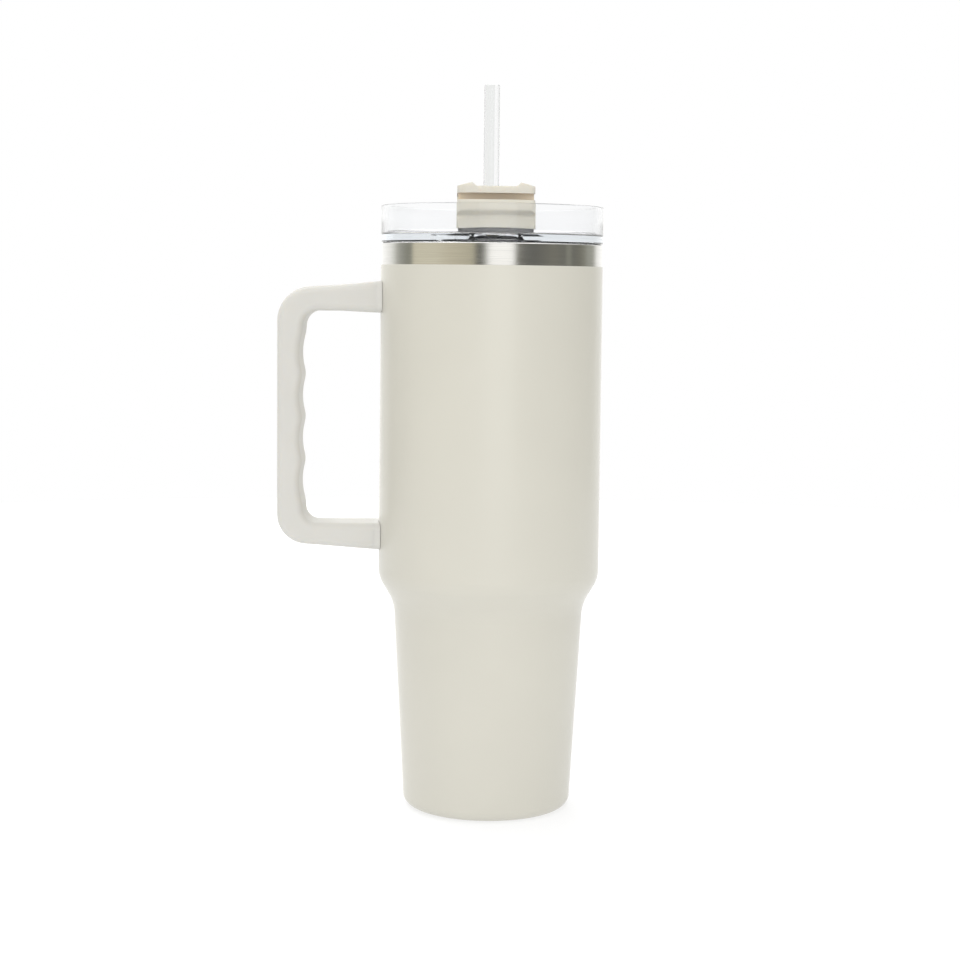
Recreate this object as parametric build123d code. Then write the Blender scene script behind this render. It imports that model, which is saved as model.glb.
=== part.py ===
from build123d import *
from math import cos, radians, sin
import os

# Insulated tumbler with a looped handle, a clear push-in lid, a turning cover and a straw.
# Millimetres. The cup's axis is Z and the cup stands on Z = 0. The handle is on the -X side
# and the front end of the cover points at -Y.

# ---- cup: coated outside ----
rim_z = 252.6            # top of the rolled drinking rim
coat_top_z = 243.1       # upper edge of the coating, bare steel above it
cup_r = 49.25            # coated radius at the coating's upper edge
shoulder_flare = 0.3     # how much wider the upper wall is just above the shoulder
shoulder_z = 104.4       # height where the upper wall meets the shoulder
shoulder_round = 12.0
waist_r = 42.5           # coated radius where the shoulder meets the lower cone
waist_z = 92.6
waist_round = 17.0
base_r = 37.5            # coated radius of the lower cone at its foot
base_round = 4.8
foot_proud = 0.3         # how far the foot pad stands out below the coated base

# ---- cup: walls ----
coat_t = 0.3
shell_t = 0.5            # outer steel wall
vacuum_gap = 2.6         # between the two steel walls
liner_t = 0.4            # inner steel wall
floor_z = 10.0           # top of the drinking floor
floor_round = 9.0
liner_floor_r = 25.0     # floor disc that closes the liner tube

# ---- cup: base ----
base_hole_r = 31.0       # opening in the outer wall's bottom flange
bottom_t = 0.5           # closing plate of the vacuum space
recess_depth = 3.1       # depth of the closing plate's recess, from the coated base
pad_clear = 0.1
pad_ring_w = 8.0         # width of the foot pad's standing ring
pad_hollow = 0.6
pad_edge_round = 0.2
seal_r = 3.0             # bead that closes the evacuation hole
seal_t = 1.2
seal_hole_r = 0.8
seal_pocket_clear = 1.0
getter_r = 5.0
getter_t = 1.0
getter_x = 13.0

# ---- handle ----
handle_w = 24.0          # across the fingers, along Y
handle_x = -94.4         # outermost face
grip_x = -82.9           # inner side of the grip, at the crests between the fingers
handle_top_z = 232.3     # top edge at the outer corner
handle_low_z = 119.9     # lower edge at the outer corner
flare_x = -67.0          # where the upper arm starts to flare towards the cup
flare_top_z = 234.1
flare_round = 60.0
window_x = -66.0
window_top_z = 222.6     # underside of the upper arm
window_low_z = 128.6     # top side of the lower arm
arm_root_x = -44.0       # arms are drawn to here, inside the cup, and cut back by it
root_top_z = 236.4       # upper arm at its root
root_top_in_z = 221.7
root_low_in_z = 128.8    # lower arm at its root
root_low_z = 116.4
outer_top_round = 15.0
outer_low_round = 13.0
inner_top_round = 7.0
inner_low_round = 6.0
finger_count = 4
finger_pitch = 19.2
finger_first_z = 203.8
finger_depth = 1.7
finger_crest_round = 5.0
handle_edge_round = 3.3

# ---- handle brackets and screws ----
bracket_t = 2.8          # collar and its weld, out from the cup
weld_t = 0.15             # the collar stands off the cup by this, on a smaller weld pad
weld_inset = 2.0         # weld pad's edge inside the arm's outline
tongue_l = 17.0
tongue_w = 13.0
tongue_t = 3.2
tongue_clear = 0.15
screw_r = 1.9
screw_clear = 0.05
screw_head_r = 3.4
screw_head_t = 1.8
screw_head_clear = 0.25
screw_drive_r = 1.3
screw_drive_depth = 1.1
screw_from_plate = 9.0   # screw axis, measured out from the cup's wall
screw_wall = 2.2         # plastic left between the screw head and the tongue

# ---- lid, clear plastic ----
lid_seat_gap = 0.3       # between the rim and the underside of the flange
lid_flange_t = 3.4
lid_wall_t = 2.2
lid_side_inset = 0.05    # lid's side inside the coated cup's radius
lid_top_z = 269.1
lid_rim_round = 0.4
lid_corner_round = 0.8   # inside, where the wall meets the deck
lid_flange_round = 1.1
lid_deck_t = 2.6
skirt_gap = 1.1          # between the liner and the skirt
skirt_t = 2.2
skirt_low_z = 238.0
groove_low_z = 243.4     # gasket groove in the skirt
groove_h = 6.4
groove_depth = 1.2
gasket_clear = 0.3
gasket_fin_h = 1.4
gasket_core = 1.0        # radial thickness of the gasket between its fins
boss_wall = 3.2          # boss under the deck, around the pivot
boss_h = 2.8

# ---- cover ----
lid_turn_deg = 2.7       # lid and cover as set on the cup
bar_w = 33.6             # across the front end
bar_rear_w = 31.0        # across the round rear end
bar_front = 38.0         # front end, from the axis
bar_rear_y = 8.7         # centre of the round rear end
bar_top_front_z = 276.6
bar_top_rear_z = 273.4
bar_lift = 2.4           # deck to the bar's underside
front_round = 46.0       # plan radius of the front end
front_corner_round = 2.6
grip_slot_low = 15.0     # finger slot, from the deck
grip_slot_h = 2.7
grip_slot_depth = 6.0
grip_slot_side = 0.5
hollow_brow = 10.3       # where the front face turns in to its hollow, from the deck
hollow_brow_depth = 0.35
hollow_brow_slope = 2.0  # rise over run of the face just above the brow
hollow_brow_round = 1.6
hollow_deep = 8.7        # deepest line of the hollow, from the deck
hollow_deep_depth = 2.8
hollow_deep_round = 0.9
hollow_lean = 7.3        # where the face below turns to its lean, from the deck
hollow_lean_depth = 1.8
hollow_lean_round = 4.0
hollow_foot_depth = 0.4  # the face leans back out to this at the bar's underside
ridge_h = 1.6            # ridges beside the valley on top
ridge_peak_x = 10.4
valley_half = 8.6
ridge_rear_y = -4.0
ridge_fade = 12.0
gasket_pad_inset = 0.7
turn_range_deg = 50.0    # takes the cover clear of the mouth opening
running_gap = 0.3        # sealing pad to the deck

# ---- pivot ----
pivot_r = 3.0
pivot_clear = 0.1
pivot_in_bar = 8.0
pivot_tail = 1.6         # below the retaining clip
clip_t = 1.2
clip_r = 5.4
clip_groove_r = 2.3
clip_open_w = 3.6

# ---- mouth opening ----
mouth_r = 31.5
mouth_half_w = 4.5
mouth_half_deg = 10.0
mouth_centre_deg = -90.0
mouth_edge = 0.6         # chamfer round the opening's upper edge

# ---- straw ----
straw_r = 3.45
straw_wall = 0.7
straw_from_rear = 8.2    # straw axis to the cover's rear end
straw_top_z = 324.4
straw_floor_gap = 0.3
straw_edge_round = 0.2
straw_seal_r = 5.2
straw_clear = 0.2
straw_slot_clear = 0.8
straw_seal_low = 4.0     # seal's lower end, from the bar's underside
straw_seal_lip = 0.8     # how far the seal stands proud of the bar's top

cut_over = 1.0           # how far cutting shapes run past what they cut

# ---- derived sizes ----
shoulder_r = cup_r + shoulder_flare
lip_round = (shell_t + vacuum_gap + liner_t) / 2
lip_z = rim_z - lip_round
liner_inset = coat_t + shell_t + vacuum_gap
mouth_inner_r = cup_r - liner_inset - liner_t
recess_top_z = foot_proud + recess_depth
deck_z = rim_z + lid_seat_gap + lid_flange_t
deck_low_z = deck_z - lid_deck_t
lid_r = cup_r - lid_side_inset
skirt_r = mouth_inner_r - skirt_gap
bar_low_z = deck_z + bar_lift
bar_rear_r = bar_rear_w / 2
straw_offset = bar_rear_y + bar_rear_r - straw_from_rear
boss_low_z = deck_low_z - boss_h
clip_top_z = boss_low_z - running_gap
clip_low_z = clip_top_z - clip_t


def revolved(face):
    """Turn a section drawn in (radius, height) about the cup's axis."""
    return revolve(Plane.XZ * face, Axis.Z)


def ring(r_in, r_out, z_low, z_high):
    """Plain ring or disc on the cup's axis."""
    body = Pos(0, 0, z_low) * Cylinder(r_out, z_high - z_low, align=(Align.CENTER, Align.CENTER, Align.MIN))
    if r_in > 0:
        body -= Pos(0, 0, z_low) * Cylinder(r_in, z_high - z_low, align=(Align.CENTER, Align.CENTER, Align.MIN))
    return body


def block(x_low, x_high, y_low, y_high, z_low, z_high):
    """Box between two corners."""
    size = (x_high - x_low, y_high - y_low, z_high - z_low)
    return Pos(x_low, y_low, z_low) * Box(*size, align=(Align.MIN, Align.MIN, Align.MIN))


def meet(line_a, line_b):
    """Crossing point of two lines, each a point and a direction in (radius, height)."""
    (ax, az), (adx, adz) = line_a
    (bx, bz), (bdx, bdz) = line_b
    t = ((bx - ax) * bdz - (bz - az) * bdx) / (adx * bdz - adz * bdx)
    return (ax + t * adx, az + t * adz)


def wall_section(inset, bottom, corner, top):
    """Half section of the cup's outline moved inwards by inset, between two heights."""
    knots = [
        (base_r, foot_proud),
        (waist_r, waist_z),
        (shoulder_r, shoulder_z),
        (cup_r, coat_top_z),
        (cup_r, rim_z),
    ]
    lines = []
    for (r0, z0), (r1, z1) in zip(knots, knots[1:]):
        length = ((r1 - r0) ** 2 + (z1 - z0) ** 2) ** 0.5
        across = (-(z1 - z0) / length * inset, (r1 - r0) / length * inset)
        lines.append(((r0 + across[0], z0 + across[1]), (r1 - r0, z1 - z0)))
    level_low = ((0, bottom), (1, 0))
    level_top = ((0, top), (1, 0))
    bends = [meet(a, b) for a, b in zip(lines, lines[1:])]
    path = [(0, bottom), meet(lines[0], level_low)] + bends + [meet(lines[-1], level_top)]
    rounds = [corner, waist_round + inset, shoulder_round - inset, 0]
    side = FilletPolyline(*path, radius=rounds)
    lid_line = Polyline(path[-1], (0, top), (0, bottom))
    return make_face(side.edges() + lid_line.edges())


def outer_solid(grow=0.0):
    """The cup's coated outside as one solid, grown outwards, for cutting what stands on it."""
    return revolved(wall_section(-grow, foot_proud, base_round, rim_z))


def make_outer_shell():
    outside = wall_section(coat_t, foot_proud + coat_t, base_round - coat_t, lip_z)
    inside_base = foot_proud + coat_t + shell_t
    inside = wall_section(coat_t + shell_t, inside_base, base_round - coat_t - shell_t, lip_z)
    lip_x = cup_r - coat_t - lip_round
    lip = Circle(lip_round) - Circle(lip_round - shell_t)
    lip &= Pos(0, lip_round) * Rectangle(4 * lip_round, 2 * lip_round)
    wall = revolved(outside - inside + Pos(lip_x, lip_z) * lip)
    return wall - ring(0, base_hole_r, 0, floor_z)


def make_powder_coat():
    outside = wall_section(0, foot_proud, base_round, rim_z)
    inside = wall_section(coat_t, foot_proud + coat_t, base_round - coat_t, rim_z)
    skin = revolved(outside - inside)
    skin -= ring(0, 2 * cup_r, coat_top_z, rim_z + cut_over)
    return skin - ring(0, base_hole_r, 0, floor_z)


def make_outer_bottom():
    plate = ring(0, base_hole_r, foot_proud + coat_t, recess_top_z + bottom_t)
    plate -= ring(0, base_hole_r - bottom_t, 0, recess_top_z)
    return plate - ring(0, seal_hole_r, 0, floor_z)


def make_vacuum_seal():
    bead = ring(0, seal_r, recess_top_z - seal_t, recess_top_z)
    bead = fillet(bead.edges().group_by(Axis.Z)[0], seal_t / 2)
    return bead + ring(0, seal_hole_r, recess_top_z - seal_t / 2, recess_top_z + bottom_t)


def make_getter():
    top = recess_top_z + bottom_t
    return Pos(getter_x, 0, 0) * ring(0, getter_r, top, top + getter_t)


def make_base_pad():
    pad_r = base_hole_r - bottom_t - pad_clear
    pad = ring(0, pad_r, 0, recess_top_z)
    pad -= ring(0, pad_r - pad_ring_w, 0, pad_hollow)
    pad -= ring(0, seal_r + seal_pocket_clear, recess_top_z - seal_t - seal_pocket_clear / 2, recess_top_z)
    return fillet(pad.edges().group_by(Axis.Z)[0], pad_edge_round)


def liner_solid():
    outside = wall_section(liner_inset, floor_z - liner_t, floor_round + liner_t, lip_z)
    inside = wall_section(liner_inset + liner_t, floor_z, floor_round, lip_z)
    return revolved(outside - inside)


def make_inner_liner():
    return liner_solid() - ring(0, liner_floor_r, 0, floor_z + cut_over)


def make_liner_floor():
    return liner_solid() & ring(0, liner_floor_r, 0, floor_z + cut_over)


def handle_outline():
    """Side view of the handle in (x, z), its arms run on into the cup."""
    crest_z = [finger_first_z + (0.5 - index) * finger_pitch for index in range(finger_count + 1)]
    outer = FilletPolyline(
        (arm_root_x, root_top_z),
        (flare_x, flare_top_z),
        (handle_x, handle_top_z),
        (handle_x, handle_low_z),
        (arm_root_x, root_low_z),
        radius=[flare_round, outer_top_round, outer_low_round],
    )
    low_side = FilletPolyline(
        (arm_root_x, root_low_in_z),
        (window_x, window_low_z),
        (grip_x, window_low_z),
        (grip_x, crest_z[-1]),
        radius=[flare_round, inner_low_round],
    )
    fingers = []
    for high, low in zip(crest_z, crest_z[1:]):
        fingers.append(ThreePointArc((grip_x, high), (grip_x - finger_depth, (high + low) / 2), (grip_x, low)))
    top_side = FilletPolyline(
        (grip_x, crest_z[0]),
        (grip_x, window_top_z),
        (window_x, window_top_z),
        (arm_root_x, root_top_in_z),
        radius=[inner_top_round, flare_round],
    )
    low_root = Line((arm_root_x, root_low_z), (arm_root_x, root_low_in_z))
    top_root = Line((arm_root_x, root_top_in_z), (arm_root_x, root_top_z))
    edges = outer.edges() + low_side.edges() + top_side.edges() + fingers + [low_root, top_root]
    side_view = make_face(edges)
    crests = [v for v in side_view.vertices() if abs(v.X - grip_x) < 0.01 and min(abs(v.Y - z) for z in crest_z) < 0.01]
    return fillet(crests, finger_crest_round)


ARMS = {"upper": (root_top_in_z, root_top_z), "lower": (root_low_z, root_low_in_z)}


def tongue_box(arm, clear=0.0):
    """Bracket tongue inside an arm, or the pocket that takes it."""
    mid_z = sum(ARMS[arm]) / 2
    tip_x = -cup_r - bracket_t - tongue_l - clear
    half_w = tongue_w / 2 + clear
    half_t = tongue_t / 2 + clear
    return block(tip_x, arm_root_x, -half_w, half_w, mid_z - half_t, mid_z + half_t)


def screw_levels(arm):
    """Heights of a screw: head's lower face, head's seat and the tongue's top."""
    mid_z = sum(ARMS[arm]) / 2
    seat_z = mid_z - tongue_t / 2 - tongue_clear - screw_wall
    return (seat_z - screw_head_t, seat_z, mid_z + tongue_t / 2)


def screw_rod(arm, radius, z_low, z_high):
    """Upright cylinder on a handle screw's axis."""
    return Pos(-cup_r - bracket_t - screw_from_plate, 0, 0) * ring(0, radius, z_low, z_high)


def handle_blank():
    """The whole loop with its edges rounded, its arms run on into the cup."""
    side_view = handle_outline()
    loop = extrude(Plane.XZ * side_view, handle_w / 2, both=True)
    flat_sides = [f for f in loop.faces() if abs(abs(f.normal_at().Y) - 1) < 1e-6]
    rims = [e for f in flat_sides for e in f.edges() if e.center().X < arm_root_x - 1e-3]
    return fillet(rims, handle_edge_round)


def make_handle():
    loop = handle_blank() - outer_solid(bracket_t)
    for arm in ARMS:
        _, seat_z, tongue_top = screw_levels(arm)
        loop -= tongue_box(arm, tongue_clear)
        loop -= screw_rod(arm, screw_head_r + screw_head_clear, ARMS[arm][0] - handle_w, seat_z)
        loop -= screw_rod(arm, screw_r + screw_head_clear, seat_z, tongue_top)
    return loop


def make_bracket(arm):
    low, high = ARMS[arm]
    margin = handle_w / 2
    collar = handle_blank() & block(-2 * cup_r, 0, -handle_w, handle_w, low - margin, high + margin)
    collar = (collar & outer_solid(bracket_t)) - outer_solid(weld_t)
    pad = Rectangle(handle_w - 2 * weld_inset, high - low - 2 * weld_inset)
    pad = fillet(pad.vertices(), weld_inset)
    pad = Pos(0, 0, (low + high) / 2) * extrude(Plane.YZ * pad, -2 * cup_r)
    bracket = collar + (pad & outer_solid(bracket_t)) + tongue_box(arm)
    return bracket - outer_solid() - screw_rod(arm, screw_r + screw_clear, low, high)


def make_handle_screws():
    screws = []
    for arm in ARMS:
        head_low, seat_z, tongue_top = screw_levels(arm)
        head = screw_rod(arm, screw_head_r, head_low, seat_z)
        head = fillet(head.edges().group_by(Axis.Z)[0], screw_head_t / 3)
        socket = Pos(-cup_r - bracket_t - screw_from_plate, 0, head_low) * extrude(
            RegularPolygon(screw_drive_r, 6), screw_drive_depth)
        screws.append(head + screw_rod(arm, screw_r, seat_z, tongue_top) - socket)
    return Compound(children=screws)


def set_lid(piece):
    """Turn a lid or cover piece to where it stands on the cup."""
    return Rot(0, 0, lid_turn_deg) * piece


def straw_place():
    """Straw axis in the lid's own frame."""
    return Pos(0, straw_offset, 0)


def arc_slot(radius, half_w, start_deg, end_deg, z_low, z_high):
    """Curved slot about the cup's axis with round ends, cut between two heights."""
    height = z_high - z_low
    band = ring(radius - half_w, radius + half_w, z_low, z_high)
    reach = 4 * radius
    wedge_points = [(0, 0)]
    for share in (0, 0.5, 1):
        angle = radians(start_deg + (end_deg - start_deg) * share)
        wedge_points.append((reach * cos(angle), reach * sin(angle)))
    wedge = extrude(make_face(Polyline(*wedge_points, close=True)), height)
    slot = band & (Pos(0, 0, z_low) * wedge)
    for angle in (start_deg, end_deg):
        centre = Rot(0, 0, angle) * Pos(radius, 0, 0)
        slot += centre * ring(0, half_w, z_low, z_high)
    return slot


def make_lid_body():
    flange_low = rim_z + lid_seat_gap
    wall = Pos(lid_r - lid_wall_t / 2, (flange_low + lid_top_z) / 2) * Rectangle(lid_wall_t, lid_top_z - flange_low)
    wall = fillet(wall.vertices().group_by(Axis.Y)[-1], lid_rim_round)
    flange = Pos((lid_r + skirt_r - skirt_t) / 2, (flange_low + deck_z) / 2) * Rectangle(
        lid_r - skirt_r + skirt_t, lid_flange_t)
    deck = Pos(skirt_r / 2, (deck_low_z + deck_z) / 2) * Rectangle(skirt_r, lid_deck_t)
    skirt = Pos(skirt_r - skirt_t / 2, (skirt_low_z + deck_z) / 2) * Rectangle(skirt_t, deck_z - skirt_low_z)
    skirt = fillet(skirt.vertices().group_by(Axis.Y)[0], skirt_t / 3)
    skirt -= Pos(skirt_r, groove_low_z + groove_h / 2) * Rectangle(2 * groove_depth, groove_h)
    section = wall + flange + deck + skirt
    corner = section.vertices().sort_by_distance((lid_r - lid_wall_t, deck_z))[0]
    section = fillet(corner, lid_corner_round)
    edge = section.vertices().sort_by_distance((lid_r, flange_low))[0]
    lid = revolved(fillet(edge, lid_flange_round))
    pivot_hole_r = pivot_r + pivot_clear
    lid += ring(0, pivot_hole_r + boss_wall, boss_low_z, deck_low_z)
    lid -= ring(0, pivot_hole_r, boss_low_z, deck_z)
    slot_half = straw_r + straw_slot_clear
    lid -= arc_slot(straw_offset, slot_half, 90, 90 + turn_range_deg, deck_low_z, deck_z)
    mouth_low = mouth_centre_deg - mouth_half_deg
    mouth_high = mouth_centre_deg + mouth_half_deg
    lid -= arc_slot(mouth_r, mouth_half_w, mouth_low, mouth_high, deck_low_z, deck_z)
    opening = [e for e in lid.edges() if abs(e.center().Z - deck_z) < 1e-3
               and abs(e.center().Y + mouth_r) < 2 * mouth_half_w and e.length < mouth_r]
    return set_lid(chamfer(opening, mouth_edge))


def make_lid_gasket():
    floor_r = skirt_r - groove_depth + gasket_clear
    low = groove_low_z + gasket_clear
    high = groove_low_z + groove_h - gasket_clear
    core = Pos(floor_r + gasket_core / 2, (low + high) / 2) * Rectangle(gasket_core, high - low)
    section = core
    tip_r = mouth_inner_r - gasket_clear
    for fin_low in (low, (low + high - gasket_fin_h) / 2, high - gasket_fin_h):
        fin = Pos((floor_r + tip_r) / 2, fin_low + gasket_fin_h / 2) * Rectangle(tip_r - floor_r, gasket_fin_h)
        section += fillet(fin.vertices().group_by(Axis.X)[-1], gasket_fin_h / 3)
    return revolved(section)


def bar_outline(inset=0.0):
    """Plan view of the cover: convex front end, tapering sides and a round rear end."""
    half = bar_w / 2 - inset
    rear_r = bar_rear_r - inset
    front_r = front_round - inset
    front_centre_y = -bar_front + front_round
    side_y = front_centre_y - (front_r ** 2 - half ** 2) ** 0.5
    front = ThreePointArc((-half, side_y), (0, inset - bar_front), (half, side_y))
    right = Line((half, side_y), (rear_r, bar_rear_y))
    rear = ThreePointArc((rear_r, bar_rear_y), (0, bar_rear_y + rear_r), (-rear_r, bar_rear_y))
    left = Line((-rear_r, bar_rear_y), (-half, side_y))
    plan = make_face([front, right, rear, left])
    corners = [v for v in plan.vertices() if v.Y < 0]
    return fillet(corners, front_corner_round)


def front_band(depth, side_depth, z_low, z_high):
    """Ring of material round the bar's front end, to cut a finger slot across it."""
    tall = z_high - z_low
    outside = extrude(Pos(0, 0, z_low) * bar_outline(-2 * depth), tall)
    core = extrude(Pos(0, 0, z_low) * bar_outline(side_depth), tall)
    rear_of_slot = block(-bar_w, bar_w, depth - bar_front, 2 * bar_front, z_low, z_high)
    return outside - (core & rear_of_slot) - block(-bar_w, bar_w, 0, 2 * bar_front, z_low, z_high)


def front_hollow():
    """What the front face's hollow takes away: an undercut that turns back to a leaning lower face."""
    low_z = bar_low_z - cut_over
    out_r = front_round + cut_over
    brow_z = deck_z + hollow_brow
    high_z = brow_z + (hollow_brow_depth + cut_over) * hollow_brow_slope
    foot_r = front_round - hollow_foot_depth
    face = FilletPolyline(
        (out_r, high_z),
        (front_round - hollow_brow_depth, brow_z),
        (front_round - hollow_deep_depth, deck_z + hollow_deep),
        (front_round - hollow_lean_depth, deck_z + hollow_lean),
        (foot_r, bar_low_z),
        radius=[hollow_brow_round, hollow_deep_round, hollow_lean_round],
    )
    back = Polyline((foot_r, bar_low_z), (foot_r, low_z), (out_r, low_z), (out_r, high_z))
    section = make_face(face.edges() + back.edges())
    return Pos(0, front_round - bar_front, 0) * revolved(section)


def make_rotating_cover():
    tall = bar_top_front_z + ridge_h - bar_low_z
    bar = extrude(Pos(0, 0, bar_low_z) * bar_outline(), tall)
    rear_y = bar_rear_y + bar_rear_r
    top_of_ridge = bar_top_front_z + ridge_h
    # the top slopes down towards the rear
    above_points = [
        (-bar_front - cut_over, bar_top_front_z),
        (-bar_front, bar_top_front_z),
        (rear_y, bar_top_rear_z),
        (rear_y + cut_over, bar_top_rear_z),
        (rear_y + cut_over, top_of_ridge + cut_over),
        (-bar_front - cut_over, top_of_ridge + cut_over),
    ]
    above = extrude(Plane.YZ * make_face(Polyline(*above_points, close=True)), bar_w, both=True)
    # ridges stand in that cut beside the valley and fade out before the straw
    half = bar_w / 2
    outer_slope = ridge_h / (half - ridge_peak_x)
    ridge_foot = bar_top_rear_z - bar_top_front_z - cut_over
    ridge_points = [
        (valley_half, 0),
        (ridge_peak_x, ridge_h),
        (half + cut_over, -cut_over * outer_slope),
        (half + cut_over, ridge_foot),
        (valley_half, ridge_foot),
    ]
    ridge_face = make_face(Polyline(*ridge_points, close=True))
    ridge = extrude(Plane.XZ * Pos(0, bar_top_front_z) * ridge_face, 2 * bar_front, both=True)
    fade_points = [
        (-bar_front - cut_over, bar_low_z),
        (-bar_front - cut_over, top_of_ridge + cut_over),
        (ridge_rear_y, top_of_ridge + cut_over),
        (ridge_rear_y, bar_top_front_z),
        (ridge_rear_y + ridge_fade, bar_low_z),
    ]
    keep = extrude(Plane.YZ * make_face(Polyline(*fade_points, close=True)), bar_w, both=True)
    ridge &= keep
    above = above - ridge - mirror(ridge, Plane.YZ)
    bar -= above
    slot_low = deck_z + grip_slot_low
    bar -= front_band(grip_slot_depth, grip_slot_side, slot_low, slot_low + grip_slot_h)
    bar -= front_hollow()
    bar -= straw_place() * ring(0, straw_seal_r, bar_low_z, top_of_ridge)
    bar -= ring(0, pivot_r, bar_low_z, bar_low_z + pivot_in_bar)
    return set_lid(bar)


def make_cover_gasket():
    pad = extrude(Pos(0, 0, deck_z + running_gap) * bar_outline(gasket_pad_inset), bar_lift - running_gap)
    pad -= ring(0, pivot_r, deck_z, bar_low_z)
    pad -= straw_place() * ring(0, straw_r + straw_clear, deck_z, bar_low_z)
    return set_lid(pad)


def make_straw_seal():
    share = (straw_offset + bar_front) / (bar_front + bar_rear_y + bar_rear_r)
    top_z = bar_top_front_z + (bar_top_rear_z - bar_top_front_z) * share
    low_z = bar_low_z + straw_seal_low
    seal = ring(straw_r + straw_clear, straw_seal_r, low_z, top_z + straw_seal_lip)
    seal = fillet(seal.edges().group_by(Axis.Z)[-1], straw_seal_lip / 2)
    return set_lid(straw_place() * seal)


def make_cover_pivot():
    post = ring(0, pivot_r, clip_low_z - pivot_tail, bar_low_z + pivot_in_bar)
    post = chamfer(post.edges().group_by(Axis.Z)[0], pivot_tail / 2)
    return set_lid(post - ring(clip_groove_r, pivot_r, clip_low_z, clip_top_z))


def make_pivot_clip():
    clip = ring(clip_groove_r, clip_r, clip_low_z, clip_top_z)
    clip -= block(-clip_open_w / 2, clip_open_w / 2, 0, 2 * clip_r, clip_low_z, clip_top_z)
    return set_lid(clip)


def make_straw():
    low_z = floor_z + straw_floor_gap
    tube = ring(straw_r - straw_wall, straw_r, low_z, straw_top_z)
    tube = fillet(tube.edges(), straw_edge_round)
    return set_lid(straw_place() * tube)


PIECES = {
    "outer_shell": make_outer_shell(),
    "powder_coat": make_powder_coat(),
    "outer_bottom": make_outer_bottom(),
    "vacuum_seal": make_vacuum_seal(),
    "getter": make_getter(),
    "base_pad": make_base_pad(),
    "inner_liner": make_inner_liner(),
    "liner_floor": make_liner_floor(),
    "handle": make_handle(),
    "handle_bracket_upper": make_bracket("upper"),
    "handle_bracket_lower": make_bracket("lower"),
    "handle_screws": make_handle_screws(),
    "lid_body": make_lid_body(),
    "lid_gasket": make_lid_gasket(),
    "rotating_cover": make_rotating_cover(),
    "cover_gasket": make_cover_gasket(),
    "straw_seal": make_straw_seal(),
    "cover_pivot": make_cover_pivot(),
    "pivot_clip": make_pivot_clip(),
    "straw": make_straw(),
}

os.makedirs("parts", exist_ok=True)
for name, piece in PIECES.items():
    export_step(piece, f"parts/{name}.step")
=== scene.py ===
"""Insulated tumbler with a looped handle, a clear push-in lid, a turning cover and a straw."""
from math import cos, pi, radians, sin, sqrt, tan

import bmesh
import bpy
from bpy.props import FloatProperty, FloatVectorProperty, IntProperty, PointerProperty
from mathutils import Matrix, Vector


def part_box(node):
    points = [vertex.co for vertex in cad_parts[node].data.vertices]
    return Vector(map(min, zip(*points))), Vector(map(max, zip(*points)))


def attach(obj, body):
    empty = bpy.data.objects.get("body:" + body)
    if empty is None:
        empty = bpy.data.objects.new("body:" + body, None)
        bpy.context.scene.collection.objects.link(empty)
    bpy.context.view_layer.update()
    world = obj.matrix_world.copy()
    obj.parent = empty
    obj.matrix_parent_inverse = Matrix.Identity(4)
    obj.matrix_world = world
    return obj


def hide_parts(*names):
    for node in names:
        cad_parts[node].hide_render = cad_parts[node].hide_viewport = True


bl_info = {
    "name": "Insulated Tumbler",
    "version": (1, 0, 0),
    "blender": (4, 5, 0),
    "location": "View3D > Sidebar > Tumbler",
    "description": "Builds a double-walled tumbler with its handle, lid, turning cover and straw",
    "category": "Add Mesh",
}

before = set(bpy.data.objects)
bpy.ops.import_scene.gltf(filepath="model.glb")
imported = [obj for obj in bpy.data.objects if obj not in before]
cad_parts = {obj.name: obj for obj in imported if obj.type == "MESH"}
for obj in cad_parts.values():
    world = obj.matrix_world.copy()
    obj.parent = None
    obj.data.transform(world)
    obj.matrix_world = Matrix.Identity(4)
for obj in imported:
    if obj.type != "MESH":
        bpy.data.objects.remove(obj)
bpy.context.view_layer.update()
MM = 0.001


def level(node, end):
    """Lowest (0) or highest (1) height of a CAD node, in millimetres."""
    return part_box(node)[end].z / MM


# Shapes are drawn in millimetres, with the cup's axis on Z, and end up in metres.
MERGE = 1e-4  # points closer than this are one
NEAR = 1e-3  # a point this close to a line is on it

# ---- heights and radii taken from the frame ----
RIM_Z = level("outer_shell", 1)
COAT_TOP_Z = level("powder_coat", 1)
COAT_LOW_Z = level("powder_coat", 0)
FLANGE_LOW_Z = RIM_Z + 0.06  # the flange hangs just clear of the rim
LID_TOP_Z = level("lid_body", 1)
SKIRT_LOW_Z = level("lid_body", 0)
LID_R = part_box("lid_body")[1].x / MM
BAR_LOW_Z = level("rotating_cover", 0)
BAR_TOP_Z = level("rotating_cover", 1)
DECK_Z = BAR_LOW_Z - 2.4  # the pad fills the height between
STRAW_LOW_Z = level("straw", 0)
STRAW_TOP_Z = level("straw", 1) - 0.7

# ---- cup walls ----
CUP_R = 49.25
SHOULDER_R = 49.52
SHOULDER_Z = 104.4
SHOULDER_ROUND = 12.0
WAIST_R = 42.5
WAIST_Z = 92.6
WAIST_ROUND = 17.0
BASE_R = 37.5
BASE_ROUND = 4.8
BASE_HOLE_R = 31.0
COAT_T = 0.3
COAT_EDGE = 0.18
SHELL_T = 0.5
GAP_T = 2.6
LINER_T = 0.4
LIP_H = 1.75
LIP_EDGE = 0.6
FLOOR_Z = 10.0
FLOOR_ROUND = 9.0
LINER_FLOOR_R = 25.0

# ---- foot pad ----
PAD_R = 30.4
PAD_TOP_Z = 3.4
PAD_RING_W = 8.0
PAD_HOLLOW = 0.6
SEAL_POCKET_R = 4.0
SEAL_POCKET_Z = 1.7

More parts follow.
